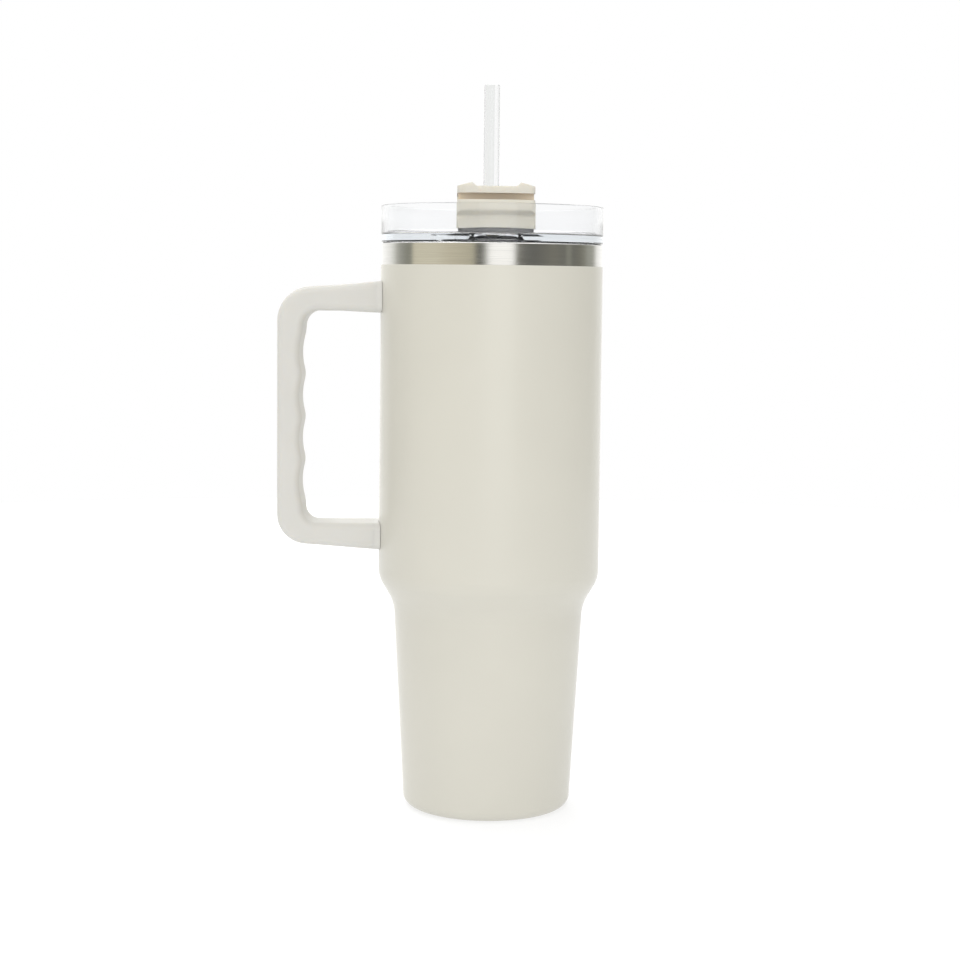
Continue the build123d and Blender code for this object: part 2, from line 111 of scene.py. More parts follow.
# ---- handle ----
HANDLE_W = 24.0
HANDLE_X = -94.4
GRIP_X = -82.9
HANDLE_TOP_Z = 232.3
HANDLE_LOW_Z = 119.9
HANDLE_TOP_ROUND = 15.0
HANDLE_LOW_ROUND = 13.0
FLARE_X = -67.0
FLARE_TOP_Z = 234.1
FLARE_ROUND = 60.0
WINDOW_X = -66.0
WINDOW_TOP_Z = 222.6
WINDOW_LOW_Z = 128.6
WINDOW_TOP_ROUND = 7.0
WINDOW_LOW_ROUND = 6.0
ROOT_X = -44.0
ROOT_TOP_Z = 236.4
ROOT_TOP_IN_Z = 221.7
ROOT_LOW_IN_Z = 128.8
ROOT_LOW_Z = 116.4
FINGERS = 4
FINGER_PITCH = 19.2
FINGER_FIRST_Z = 203.8
FINGER_DEPTH = 1.7
FINGER_STEPS = 18
FINGER_SMOOTHING = 5
BRACKET_T = 2.8
SCREW_X = -61.05
SCREW_POCKET_R = 3.65
SCREW_POCKET_TOP = 3.95  # below the middle of the arm's root

# ---- lid ----
LID_WALL_T = 2.2
LID_RIM_ROUND = 0.4
LID_CORNER_ROUND = 0.8
LID_WALL_BLEND = 30.0
FLANGE_EDGE = 1.1
WALL_SPREAD = 0.4
WALL_SPREAD_H = 6.0
DECK_T = 2.6
SKIRT_R = 44.35
SKIRT_T = 2.2
SKIRT_EDGE = 0.7
GROOVE_LOW_Z = 243.4
GROOVE_H = 6.4
GROOVE_DEPTH = 1.2
GROOVE_EDGE = 0.15
GASKET_PLAY = 0.3
GASKET_CORE_T = 1.0
GASKET_FINS = 3
GASKET_FIN_H = 1.4
GASKET_FIN_ROUND = 0.55
BOSS_R = 6.3
BOSS_LOW_Z = 250.9
PIVOT_HOLE_R = 3.1
PIVOT_R = 3.0
LID_TURN = radians(2.7)
SLOT_R = 4.25
MOUTH_R = 31.5
MOUTH_HALF_W = 4.5
MOUTH_START_DEG = -100.0
MOUTH_TURN_DEG = 20.0
MOUTH_EASE = 0.6
MOUTH_LOW_ROUND = 1.8
SLOT_EASE = 0.3
TRAVEL_DEG = 50.0

# ---- cover ----
BAR_HALF = 16.8
BAR_REAR_HALF = 15.5
BAR_FRONT = 38.0
BAR_REAR_Y = 8.7
BAR_FRONT_TOP_Z = 276.6
BAR_REAR_TOP_Z = 273.4
FRONT_ROUND = 46.0
FRONT_CORNER = 2.6
SLOT_LOW_Z = 270.9
SLOT_H = 2.7
SLOT_DEPTH = 6.0
SLOT_SIDE = 0.5
HOLLOW_TOP_Z = 269.3
HOLLOW_OUT = 1.0
HOLLOW_BROW_Z = 266.0
HOLLOW_BROW = 0.35
HOLLOW_DEEP_Z = 264.3
HOLLOW_DEEP = 2.4
HOLLOW_LEAN_Z = 262.9
HOLLOW_LEAN = 1.7
HOLLOW_FOOT = 0.4
HOLLOW_ROUNDS = [1.6, 0.9, 4.0]  # at the brow, the deepest point and the lean
BAR_SAG = 0.5
RIDGE_H = 1.6
RIDGE_X = 10.4
VALLEY_HALF = 8.6
RIDGE_REAR_Y = -4.0
RIDGE_FADE = 12.0
PAD_INSET = 0.7
PAD_PRESS = 0.03
PAD_EDGE = 0.3

# ---- straw ----
STRAW_Y = 16.0
STRAW_R = 3.45
STRAW_WALL = 0.7
STRAW_SEAL_R = 5.2
STRAW_PLAY = 0.2
STRAW_EDGE = 0.25
# painted highlight down the straw: its place across X and its half-width
STRAW_HIGHLIGHT_X = 1.3
STRAW_HIGHLIGHT_HALF = 0.75

# ---- studio: the soft boxes with their places and sizes in metres, and the setting for their power ----
SOFT_BOXES = (
    ("front_soft_box", (0.15, -1.5, 0.5), 1.1, "front_light"),
    ("top_soft_box", (0.0, -0.15, 1.7), 1.5, "top_light"),
    ("back_soft_box", (-0.5, 0.9, 1.1), 1.5, "back_light"),
)
LIGHT_AIM = (0, 0, 0.15)
FLOOR_GLOW = 0.68
FLOOR_EDGE_GLOW = 0.85
FLOOR_PLAIN_SHARE = 0.3  # share of the radius before the floor starts to fade
SKY_LEAN = 0.1  # share by which the sky is stronger on the left
SCREEN_LIGHT = 1.38


# ======== settings ========

def length(name, description, default, low=0.0, high=10.0):
    """A length in metres that a user can change."""
    return FloatProperty(name=name, description=description, default=default, min=low, max=high,
                         unit="LENGTH", precision=5)


def colour(name, description, default):
    """A colour that a user can change."""
    return FloatVectorProperty(name=name, description=description, default=default, size=3,
                               subtype="COLOR", min=0.0, max=1.0)


def power(name, description, default):
    """A lamp's power in watts that a user can change."""
    return FloatProperty(name=name, description=description, default=default, min=0, max=500)


class TumblerSizes(bpy.types.PropertyGroup):
    """Rounding and grain of the pieces"""

    handle_round: length("Handle rounding", "Radius along the handle's edges", 0.0033, 0.001, 0.0055)
    cover_round: length("Cover rounding", "Radius along the cover's edges", 0.0005, 0.0001, 0.0012)
    coat_grain: length("Coat grain", "Height of the powder coat's fine peel", 0.000012, 0.0, 0.0002)
    brush_depth: length("Brush depth", "Depth of the brushing on the steel", 0.000006, 0.0, 0.0001)
    round_steps: IntProperty(name="Round steps", description="Steps round the cup's axis",
                             default=192, min=48, max=384)


class TumblerColours(bpy.types.PropertyGroup):
    """Colours of the pieces"""

    coat: colour("Coat", "Powder coat on the cup", (0.571, 0.557, 0.493))
    handle: colour("Handle", "Moulded handle", (0.593, 0.586, 0.556))
    cover: colour("Cover", "Turning cover", (0.735, 0.712, 0.63))
    steel: colour("Steel", "Brushed steel of the rim", (0.66, 0.65, 0.63))
    liner: colour("Liner", "Steel inside the cup", (0.84, 0.84, 0.83))
    clear: colour("Lid", "Clear plastic of the lid", (0.98, 0.983, 0.988))
    straw: colour("Straw", "Clear plastic of the straw", (0.915, 0.92, 0.915))
    gasket: colour("Lid gasket", "Milky silicone in the lid's groove", (0.82, 0.84, 0.86))
    pad: colour("Cover pad", "Grey silicone under the cover", (0.25, 0.25, 0.255))
    foot: colour("Foot pad", "Silicone under the cup", (0.6, 0.585, 0.53))
    screw: colour("Screws", "Plain steel of the handle's screws", (0.55, 0.55, 0.55))
    sealant: colour("Sealant", "Bead over the evacuation hole", (0.06, 0.06, 0.065))
    getter: colour("Getter", "Sintered pill inside the vacuum space", (0.12, 0.12, 0.125))


class TumblerStudio(bpy.types.PropertyGroup):
    """Camera, floor and lights"""

    distance: length("Distance", "From the cup's axis to the camera", 0.9, 0.3, 5.0)
    eye_height: length("Eye height", "Camera above the floor", 0.2354, 0.0, 3.0)
    pitch: FloatProperty(name="Pitch", description="How far the camera looks down",
                         default=radians(5.575), subtype="ANGLE")
    roll: FloatProperty(name="Roll", description="How far the camera is tipped",
                        default=radians(0.659), subtype="ANGLE")
    focal: FloatProperty(name="Focal length", description="Lens, in millimetres",
                         default=75.57, min=20, max=200)
    shift: FloatProperty(name="Shift", description="Sideways shift of the picture, in frame widths",
                         default=-0.00985, precision=5)
    floor_radius: length("Floor radius", "Radius of the pale floor", 1.3, 0.5, 20.0)
    sky: FloatProperty(name="Sky", description="Strength of the white surroundings",
                       default=0.8, min=0, max=5)
    front_light: power("Front light", "Power of the front soft box, in watts", 7.4)
    top_light: power("Top light", "Power of the soft box overhead, in watts", 8.0)
    back_light: power("Back light", "Power of the soft box behind, in watts", 16.0)


# ======== mesh helpers ========

def round_corners(bm, verts, rounds, steps):
    """Rounds the corners of a drawn line or outline to the given radii."""
    cuts = []
    for vert, radius in zip(verts, rounds):
        if not radius:
            continue
        arms = [(edge.other_vert(vert).co - vert.co).normalized() for edge in vert.link_edges]
        half = arms[0].angle(arms[1]) / 2
        cuts.append((vert, radius / tan(half)))
    for vert, reach in cuts:
        bmesh.ops.bevel(bm, geom=[vert], offset=reach, offset_type="OFFSET", segments=steps,
                        profile=0.5, affect="VERTICES", clamp_overlap=False, material=-1)


def drawn(points, rounds=None, closed=True, steps=8):
    """A line of corners in (x, z), with its corners rounded, as a bmesh of edges."""
    bm = bmesh.new()
    verts = [bm.verts.new((x, 0, z)) for x, z in points]
    ends = zip(verts, verts[1:] + verts[:1]) if closed else zip(verts, verts[1:])
    for pair in ends:
        bm.edges.new(pair)
    if rounds:
        round_corners(bm, verts, rounds, steps)
    return bm


def spun(bm, steps=None, centre=(0.0, 0.0)):
    """Turns a drawn section all the way round an upright axis."""
    count = steps or bpy.context.scene.tumbler_sizes.round_steps
    bmesh.ops.spin(bm, geom=bm.verts[:] + bm.edges[:], cent=(0, 0, 0), axis=(0, 0, 1),
                   dvec=(0, 0, 0), angle=2 * pi, steps=count, use_merge=True, use_duplicate=False)
    bmesh.ops.remove_doubles(bm, verts=bm.verts, dist=MERGE)
    bmesh.ops.translate(bm, vec=(centre[0], centre[1], 0), verts=bm.verts)
    bmesh.ops.recalc_face_normals(bm, faces=bm.faces)
    return bm


def raised(bm, direction):
    """Fills a drawn outline and raises it into a solid along a direction."""
    bmesh.ops.remove_doubles(bm, verts=bm.verts, dist=MERGE)
    face = bmesh.ops.contextual_create(bm, geom=bm.edges[:])["faces"]
    lifted = bmesh.ops.extrude_face_region(bm, geom=face, use_keep_orig=True)
    moved = [item for item in lifted["geom"] if isinstance(item, bmesh.types.BMVert)]
    bmesh.ops.translate(bm, vec=direction, verts=moved)
    bmesh.ops.recalc_face_normals(bm, faces=bm.faces)
    return bm


def rod(radius, low, high, centre=(0.0, 0.0), sides=64):
    """An upright round bar."""
    bm = bmesh.new()
    place = Matrix.Translation((centre[0], centre[1], (low + high) / 2))
    bmesh.ops.create_cone(bm, cap_ends=True, segments=sides, radius1=radius, radius2=radius,
                          depth=high - low, matrix=place)
    return bm


def as_object(bm, name):
    """A scratch object from a bmesh."""
    mesh = bpy.data.meshes.new(name)
    bm.to_mesh(mesh)
    bm.free()
    thing = bpy.data.objects.new(name, mesh)
    bpy.context.scene.collection.objects.link(thing)
    return thing


def cut(bm, cutters, keep=False):
    """The solid less the cutters, or with keep, what it shares with them."""
    things = [as_object(solid, f"scratch_{index}") for index, solid in enumerate([bm] + cutters)]
    for cutter in things[1:]:
        step = things[0].modifiers.new(cutter.name, "BOOLEAN")
        step.operation = "INTERSECT" if keep else "DIFFERENCE"
        step.solver = "EXACT"
        step.object = cutter
    bpy.context.view_layer.update()
    seen = things[0].evaluated_get(bpy.context.evaluated_depsgraph_get())
    result = bmesh.new()
    result.from_mesh(seen.to_mesh())
    seen.to_mesh_clear()
    for thing in things:
        mesh = thing.data
        bpy.data.objects.remove(thing)
        bpy.data.meshes.remove(mesh)
    if not result.faces:
        raise RuntimeError("a cut left nothing")
    return result


def finished(bm, name, body, material, stands_for, turn=0.0, smooth_deg=40.0):
    """Turns a bmesh in millimetres into a piece that rides on a body and stands for CAD nodes."""
    bmesh.ops.remove_doubles(bm, verts=bm.verts, dist=MERGE)
    bmesh.ops.recalc_face_normals(bm, faces=bm.faces)
    bmesh.ops.rotate(bm, cent=(0, 0, 0), matrix=Matrix.Rotation(turn, 3, "Z"), verts=bm.verts)
    bmesh.ops.scale(bm, vec=(MM, MM, MM), verts=bm.verts)
    piece = as_object(bm, name)
    piece.data.shade_smooth()
    piece.data.set_sharp_from_angle(angle=radians(smooth_deg))
    piece.data.materials.append(material)
    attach(piece, body)
    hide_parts(*stands_for)
    return piece


def rounded_edges(piece, width, segments=3):
    """Rounds a piece's sharp edges with a live bevel and evens its shading."""
    bevel = piece.modifiers.new("edge_round", "BEVEL")
    bevel.width = width
    bevel.segments = segments
    bevel.limit_method = "ANGLE"
    bevel.angle_limit = radians(30)
    bevel.miter_outer = "MITER_ARC"
    even_shading(piece)


def even_shading(piece):
    """Lets large flat faces keep flat shading beside their rounded edges."""
    weigh = piece.modifiers.new("even_shading", "WEIGHTED_NORMAL")
    weigh.keep_sharp = True


# ======== material helpers ========

def fed(tree, socket, value):
    """Links a socket to another node's output, or sets it to a plain value."""
    if isinstance(value, bpy.types.NodeSocket):
        tree.links.new(value, socket)
    else:
        socket.default_value = value


def worked_out(tree, operation, *values):
    """The result of a math node on outputs and plain numbers."""
    node = tree.nodes.new("ShaderNodeMath")
    node.operation = operation
    for socket, value in zip(node.inputs, values):
        fed(tree, socket, value)
    return node.outputs[0]


def stretched(tree, value, start, end, low, high, smooth=False):
    """A value whose range from start to end is stretched to run from low to high."""
    node = tree.nodes.new("ShaderNodeMapRange")
    if smooth:
        node.interpolation_type = "SMOOTHSTEP"
    for key, number in (("From Min", start), ("From Max", end), ("To Min", low), ("To Max", high)):
        node.inputs[key].default_value = number
    fed(tree, node.inputs["Value"], value)
    return node.outputs["Result"]


def mixed(tree, share, first, second, blend="MIX"):
    """The first colour with a share of the second blended in."""
    node = tree.nodes.new("ShaderNodeMix")
    node.data_type = "RGBA"
    node.blend_type = blend
    for key, value in (("Factor", share), ("A", first), ("B", second)):
        fed(tree, node.inputs[key], value)
    return node.outputs["Result"]


def axes(tree, place):
    """The X, Y and Z outputs of a place or direction."""
    node = tree.nodes.new("ShaderNodeSeparateXYZ")
    tree.links.new(place, node.inputs[0])
    return node.outputs


EVEN = (1, 1, 1)


class Finish:
    """A node material with noise patterns in object coordinates, each of a scale and detail."""

    def __init__(self, name, base, roughness, metallic=0.0):
        self.material = bpy.data.materials.new(name)
        self.material.use_nodes = True
        self.material.diffuse_color = (*base, 1)
        self.tree = self.material.node_tree
        self.shader = self.tree.nodes["Principled BSDF"]
        self.place = self.tree.nodes.new("ShaderNodeTexCoord").outputs["Object"]
        self.base = base
        self.roughness = roughness
        self.set("Base Color", (*base, 1))
        self.set("Roughness", roughness)
        self.set("Metallic", metallic)
        self.normal = None

    def set(self, socket, value):
        """Sets one of the shader's own sockets."""
        self.shader.inputs[socket].default_value = value

    def pattern(self, scale, detail, stretch):
        """A noise value over the piece, so many times a metre along each axis."""
        mapping = self.tree.nodes.new("ShaderNodeMapping")
        mapping.inputs["Scale"].default_value = [scale * share for share in stretch]
        self.tree.links.new(self.place, mapping.inputs["Vector"])
        texture = self.tree.nodes.new("ShaderNodeTexNoise")
        texture.inputs["Scale"].default_value = 1.0
        texture.inputs["Detail"].default_value = detail
        self.tree.links.new(mapping.outputs["Vector"], texture.inputs["Vector"])
        return texture.outputs["Fac"]

    def spread(self, low, high, scale, detail, stretch):
        """A pattern whose middle range is stretched to run from low to high."""
        return stretched(self.tree, self.pattern(scale, detail, stretch), 0.3, 0.7, low, high)

    def tint(self, amount, scale, detail, stretch=EVEN):
        """Colour that drifts by the given share either way."""
        lift = [min(1.0, part * (1 + amount)) for part in self.base]
        shade = [part * (1 - amount) for part in self.base]
        share = self.spread(0, 1, scale, detail, stretch)
        drift = mixed(self.tree, share, (*lift, 1), (*shade, 1))
        self.tree.links.new(drift, self.shader.inputs["Base Color"])

    def rough(self, amount, scale, detail, stretch=EVEN):
        """Roughness that drifts by the given amount either way."""
        low, high = self.roughness - amount, self.roughness + amount
        drift = self.spread(low, high, scale, detail, stretch)
        self.tree.links.new(drift, self.shader.inputs["Roughness"])

    def bump(self, height, scale, detail, stretch=EVEN, strength=1.0):
        """Relief of the given height in metres, on top of any before it."""
        relief = self.tree.nodes.new("ShaderNodeBump")
        relief.inputs["Distance"].default_value = height
        relief.inputs["Strength"].default_value = strength
        self.tree.links.new(self.pattern(scale, detail, stretch), relief.inputs["Height"])
        if self.normal:
            self.tree.links.new(self.normal, relief.inputs["Normal"])
        self.normal = relief.outputs["Normal"]
        self.tree.links.new(self.normal, self.shader.inputs["Normal"])


def coat_finish(name, base):
    """Satin powder coat: a fine orange peel, faint drift of shade and pin-point grains."""
    grain = bpy.context.scene.tumbler_sizes.coat_grain
    finish = Finish(name, base, 0.46)
    finish.set("Specular IOR Level", 0.45)
    finish.set("Sheen Weight", 0.6)
    finish.set("Sheen Roughness", 0.18)
    finish.set("Coat Weight", 0.4)
    finish.set("Coat Roughness", 0.2)
    finish.tint(0.012, 26, 3)
    finish.rough(0.05, 700, 3)
    finish.bump(grain * 2.2, 620, 2)
    finish.bump(grain * 0.5, 2600, 2)
    return finish.material


def moulded_finish(name, base, roughness, gloss):
    """Satin moulded plastic: spark-eroded grain and faint flow shading."""
    finish = Finish(name, base, roughness)
    finish.set("Specular IOR Level", gloss)
    finish.set("Subsurface Weight", 0.3)
    finish.set("Subsurface Radius", (1.0, 0.85, 0.65))
    finish.set("Subsurface Scale", 0.003)
    finish.tint(0.01, 34, 2)
    finish.rough(0.05, 900, 2)
    finish.bump(0.000008, 2400, 3)
    return finish.material


def painted_light_band(material, axis, middle, half, tint, rear_y=None):
    """Paints a soft-edged band across an axis, in millimetres: a tint below one gives painted shade, above
    one a painted highlight; with rear_y, only in front of that Y.
    """
    tree = material.node_tree
    place = axes(tree, tree.nodes.new("ShaderNodeTexCoord").outputs["Object"])
    distance = worked_out(tree, "ABSOLUTE", worked_out(tree, "SUBTRACT", place[axis], middle * MM))
    share = stretched(tree, distance, half * MM, half * MM * 1.1, 1, 0)
    if rear_y is not None:
        ahead = stretched(tree, place["Y"], (rear_y - 3) * MM, rear_y * MM, 1, 0)
        share = worked_out(tree, "MULTIPLY", share, ahead)
    socket = tree.nodes["Principled BSDF"].inputs["Base Color"]
    base = socket.links[0].from_socket if socket.is_linked else socket.default_value
    tree.links.new(mixed(tree, share, base, (*tint, 1), "MULTIPLY"), socket)


def brushed_finish(name, base, roughness, depth):
    """Steel brushed round the cup: fine lines that run level, with a few deeper ones."""
    finish = Finish(name, base, roughness, metallic=1.0)
    lines = (0.01, 0.01, 1.0)
    finish.tint(0.05, 5200, 3, lines)
    finish.rough(0.04, 3600, 3, lines)
    finish.bump(depth, 9000, 3, lines)
    finish.bump(depth * 1.5, 1500, 2, lines)
    return finish.material


def plain_steel_finish(name, base, roughness):
    """Plain turned steel with faint mottling."""
    finish = Finish(name, base, roughness, metallic=1.0)
    finish.tint(0.06, 400, 4)
    finish.rough(0.08, 1200, 3)
    finish.bump(0.000004, 4000, 3)
    return finish.material


def clear_finish(name, base, roughness, ior, wave):
    """Clear moulded plastic with faint flow waves in its surface."""
    finish = Finish(name, base, roughness)
    finish.set("Transmission Weight", 1.0)
    finish.set("IOR", ior)
    finish.set("Specular Tint", (0.35, 0.35, 0.35, 1))
    finish.bump(wave, 90, 2, strength=0.5)
    finish.rough(roughness * 0.6, 300, 3)
    return finish.material


def tinted_through(material, tint, density):
    """Gives a clear material a tint that deepens with its thickness."""
    tree = material.node_tree
    absorb = tree.nodes.new("ShaderNodeVolumeAbsorption")
    absorb.inputs["Color"].default_value = (*tint, 1)
    absorb.inputs["Density"].default_value = density
    tree.links.new(absorb.outputs[0], tree.nodes["Material Output"].inputs["Volume"])


def rubber_finish(name, base, roughness=0.6):
    """Matt silicone with a soft dusty grain."""
    finish = Finish(name, base, roughness)
    finish.set("Sheen Weight", 0.15)
    finish.set("Sheen Roughness", 0.5)
    finish.tint(0.05, 160, 4)
    finish.rough(0.08, 800, 3)
    finish.bump(0.00001, 3000, 3)
    return finish.material


def milky_finish(name, base):
    """Translucent silicone."""
    finish = Finish(name, base, 0.35)
    finish.set("Transmission Weight", 0.6)
    finish.set("IOR", 1.41)
    finish.tint(0.02, 300, 3)
    finish.rough(0.08, 900, 2)
    finish.bump(0.000006, 2500, 2)
    return finish.material


# ======== cup ========

def meet(line_a, line_b):
    """Crossing point of two lines, each a point and a direction in (radius, height)."""
    (ax, az), (adx, adz) = line_a
    (bx, bz), (bdx, bdz) = line_b
    share = ((bx - ax) * bdz - (bz - az) * bdx) / (adx * bdz - adz * bdx)
    return (ax + share * adx, az + share * adz)


def wall_line(inset, low_z, high_z, corner):
    """Corners and roundings of the cup's outline moved inwards, from its foot up."""
    knots = [(BASE_R, COAT_LOW_Z), (WAIST_R, WAIST_Z), (SHOULDER_R, SHOULDER_Z),
             (CUP_R, COAT_TOP_Z), (CUP_R, RIM_Z)]
    lines = []
    for (r0, z0), (r1, z1) in zip(knots, knots[1:]):
        run = sqrt((r1 - r0) ** 2 + (z1 - z0) ** 2)
        across = (-(z1 - z0) / run * inset, (r1 - r0) / run * inset)
        lines.append(((r0 + across[0], z0 + across[1]), (r1 - r0, z1 - z0)))
    bends = [meet(a, b) for a, b in zip(lines, lines[1:])]
    foot = meet(lines[0], ((0, low_z), (1, 0)))
    last = 2 if high_z <= COAT_TOP_Z else 3
    top = meet(lines[last], ((0, high_z), (1, 0)))
    bends = bends[:last]
    points = [foot] + bends + [top]
    rounds = [corner, WAIST_ROUND + inset, SHOULDER_ROUND - inset, 0][: len(bends) + 1] + [0]
    return points, rounds


def skin(outer, inner, start_r):
    """Closed section between two outlines that both start level, at the same radius."""
    outer_points, outer_rounds = outer
    inner_points, inner_rounds = inner
    points = [(start_r, outer_points[0][1])] + outer_points
    points += inner_points[::-1] + [(start_r, inner_points[0][1])]
    rounds = [0] + outer_rounds + inner_rounds[::-1] + [0]
    return points, rounds


class TUMBLER_OT_coat(bpy.types.Operator):
    """Make the powder coat over the cup's outside"""

    bl_idname = "tumbler.coat"
    bl_label = "Powder coat"

    def execute(self, context):
        colours = context.scene.tumbler_colours
        outer = wall_line(0, COAT_LOW_Z, COAT_TOP_Z, BASE_ROUND)
        inner = wall_line(COAT_T, COAT_LOW_Z + COAT_T, COAT_TOP_Z, BASE_ROUND - COAT_T)
        points, rounds = skin(outer, inner, BASE_HOLE_R)
        rounds[len(outer[0])] = COAT_EDGE
        bm = spun(drawn(points, rounds, steps=10))
        coat = coat_finish("powder_coat", colours.coat)
        finished(bm, "powder_coat_skin", "cup", coat, ["powder_coat"])
        return {"FINISHED"}


class TUMBLER_OT_steel_walls(bpy.types.Operator):
    """Make the steel outer wall with its rolled lip, and the steel liner"""

    bl_idname = "tumbler.steel_walls"
    bl_label = "Steel walls"

    def execute(self, context):
        colours = context.scene.tumbler_colours
        depth = context.scene.tumbler_sizes.brush_depth
        lip_z = RIM_Z - LIP_H
        outer = wall_line(COAT_T, COAT_LOW_Z + COAT_T, lip_z, BASE_ROUND - COAT_T)
        inset = COAT_T + SHELL_T
        inner = wall_line(inset, COAT_LOW_Z + inset, lip_z, BASE_ROUND - inset)
        lip_r = CUP_R - COAT_T
        lip_in_r = lip_r - 2 * LIP_H
        hollow = LIP_EDGE - SHELL_T
        lip_points = [(lip_r, RIM_Z), (lip_in_r, RIM_Z), (lip_in_r, lip_z), (lip_in_r + SHELL_T, lip_z),
                      (lip_in_r + SHELL_T, RIM_Z - SHELL_T), (lip_r - SHELL_T, RIM_Z - SHELL_T)]
        lip_rounds = [LIP_EDGE, LIP_EDGE, 0, 0, hollow, hollow]
        points = [(BASE_HOLE_R, COAT_LOW_Z + COAT_T)] + outer[0] + lip_points + inner[0][::-1]
        points.append((BASE_HOLE_R, COAT_LOW_Z + inset))
        rounds = [0] + outer[1] + lip_rounds + inner[1][::-1] + [0]
        bm = spun(drawn(points, rounds, steps=10))
        steel = brushed_finish("brushed_steel", colours.steel, 0.15, depth)
        finished(bm, "outer_wall", "cup", steel, ["outer_shell"])

        inset = COAT_T + SHELL_T + GAP_T
        outer = wall_line(inset, FLOOR_Z - LINER_T, lip_z, FLOOR_ROUND + LINER_T)
        inner = wall_line(inset + LINER_T, FLOOR_Z, lip_z, FLOOR_ROUND)
        points, rounds = skin(outer, inner, LINER_FLOOR_R)
        bm = spun(drawn(points, rounds, steps=12))
        liner = brushed_finish("liner_steel", colours.liner, 0.3, depth)
        finished(bm, "liner_wall", "cup", liner, ["inner_liner"])
        return {"FINISHED"}


class TUMBLER_OT_foot_pad(bpy.types.Operator):
    """Make the silicone pad under the cup"""

    bl_idname = "tumbler.foot_pad"
    bl_label = "Foot pad"

    def execute(self, context):
        colours = context.scene.tumbler_colours
        ring_r = PAD_R - PAD_RING_W
        points = [(0, PAD_HOLLOW), (ring_r, PAD_HOLLOW), (ring_r, 0), (PAD_R, 0), (PAD_R, PAD_TOP_Z),
                  (SEAL_POCKET_R, PAD_TOP_Z), (SEAL_POCKET_R, SEAL_POCKET_Z), (0, SEAL_POCKET_Z)]
        rounds = [0, 0.25, 0.35, 0.5, 0.2, 0, 0, 0]
        bm = spun(drawn(points, rounds, closed=False, steps=4))
        foot = rubber_finish("foot_silicone", colours.foot, 0.7)
        finished(bm, "foot_pad", "cup", foot, ["base_pad"])
        return {"FINISHED"}


# ======== handle ========

def finger_hollows(bm, crest_low, crest_high):
    """Sinks the row of finger hollows into the grip's straight inner edge."""
    ends = (crest_low, crest_high)
    edge = [e for e in bm.edges if e.verts[0] in ends and e.verts[1] in ends]
    bmesh.ops.subdivide_edges(bm, edges=edge, cuts=FINGERS * FINGER_STEPS - 1)
    high_z = FINGER_FIRST_Z + FINGER_PITCH / 2
    low_z = high_z - FINGERS * FINGER_PITCH
    grip = [v for v in bm.verts if abs(v.co.x - GRIP_X) < NEAR and low_z - NEAR < v.co.z < high_z + NEAR]
    for vert in grip:
        share = (vert.co.z - low_z) / FINGER_PITCH % 1.0
        vert.co.x -= FINGER_DEPTH * 4 * share * (1 - share)
    for _ in range(FINGER_SMOOTHING):
        bmesh.ops.smooth_vert(bm, verts=grip, factor=0.5, use_axis_x=True, use_axis_y=False,
                              use_axis_z=False)


def handle_outline():
    """Side view of the handle, its arms run on into the cup."""
    crest_high = FINGER_FIRST_Z + FINGER_PITCH / 2
    crest_low = crest_high - FINGERS * FINGER_PITCH
    corners = [
        ((ROOT_X, ROOT_TOP_Z), 0),
        ((FLARE_X, FLARE_TOP_Z), FLARE_ROUND),
        ((HANDLE_X, HANDLE_TOP_Z), HANDLE_TOP_ROUND),
        ((HANDLE_X, HANDLE_LOW_Z), HANDLE_LOW_ROUND),
        ((ROOT_X, ROOT_LOW_Z), 0),
        ((ROOT_X, ROOT_LOW_IN_Z), 0),
        ((WINDOW_X, WINDOW_LOW_Z), FLARE_ROUND),
        ((GRIP_X, WINDOW_LOW_Z), WINDOW_LOW_ROUND),
        ((GRIP_X, crest_low), 0),
        ((GRIP_X, crest_high), 0),
        ((GRIP_X, WINDOW_TOP_Z), WINDOW_TOP_ROUND),
        ((WINDOW_X, WINDOW_TOP_Z), FLARE_ROUND),
        ((ROOT_X, ROOT_TOP_IN_Z), 0),
    ]
    bm = drawn([point for point, _ in corners])
    bm.verts.ensure_lookup_table()
    verts = bm.verts[:]
    round_corners(bm, verts, [radius for _, radius in corners], 10)
    finger_hollows(bm, verts[8], verts[9])
    return bm


class TUMBLER_OT_handle(bpy.types.Operator):
    """Make the looped handle"""

    bl_idname = "tumbler.handle"
    bl_label = "Handle"

    def execute(self, context):
        colours = context.scene.tumbler_colours
        edge_round = context.scene.tumbler_sizes.handle_round / MM
        bm = handle_outline()
        bmesh.ops.translate(bm, vec=(0, -HANDLE_W / 2, 0), verts=bm.verts)
        bm = raised(bm, (0, HANDLE_W, 0))
        sides = [f for f in bm.faces if abs(f.normal.y) > 0.9]
        rims = {edge for face in sides for edge in face.edges
                if min(edge.verts[0].co.x, edge.verts[1].co.x) < ROOT_X - NEAR}
        bmesh.ops.bevel(bm, geom=list(rims), offset=edge_round, offset_type="OFFSET", segments=8,
                        profile=0.5, affect="EDGES", clamp_overlap=False, material=-1)
        cup_points, cup_rounds = wall_line(-BRACKET_T, COAT_LOW_Z, COAT_TOP_Z, 0)
        cup_points = [(0, cup_points[0][1])] + cup_points + [(0, cup_points[-1][1])]
        cup = spun(drawn(cup_points, [0] + cup_rounds + [0], closed=False))
        cutters = [cup]
        for low_z, high_z in ((ROOT_TOP_IN_Z, ROOT_TOP_Z), (ROOT_LOW_Z, ROOT_LOW_IN_Z)):
            seat_z = (low_z + high_z) / 2 - SCREW_POCKET_TOP
            cutters.append(rod(SCREW_POCKET_R, low_z - 8, seat_z, (SCREW_X, 0)))
        bm = cut(bm, cutters)
        plastic = moulded_finish("handle_plastic", colours.handle, 0.46, 0.35)
        piece = finished(bm, "handle_loop", "cup", plastic, ["handle"])
        even_shading(piece)
        return {"FINISHED"}


# ======== lid ========

